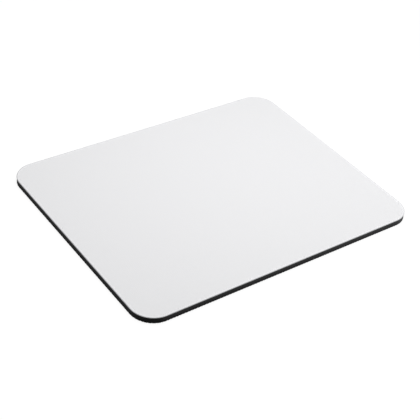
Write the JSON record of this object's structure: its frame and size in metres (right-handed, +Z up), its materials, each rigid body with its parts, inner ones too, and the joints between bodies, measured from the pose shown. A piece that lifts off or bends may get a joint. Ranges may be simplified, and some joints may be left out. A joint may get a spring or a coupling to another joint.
{
  "type": "mouse pad",
  "caption": "Flat rectangular mouse pad with rounded corners: a blank white knitted cloth face bonded to a black sponge-rubber base that grips the desk.",
  "frame": {"origin": "middle of the underside, in the plane of the desk", "axes": "+X along the long side to the user's right, +Y along the short side away from the user, +Z up out of the cloth face"},
  "size_m": [0.25, 0.2, 0.005],
  "materials": {
    "sponge_rubber": "matt black closed-cell sponge rubber, die-cut at the sides and embossed underneath",
    "hot_melt": "thin set film of hot-melt adhesive",
    "knit_cloth": "blank white fine polyester jersey knit"
  },
  "bodies": {
    "root": {"rubber_base": "sponge_rubber", "adhesive_film": "hot_melt", "face_cloth": "knit_cloth"}
  },
  "joints": []
}
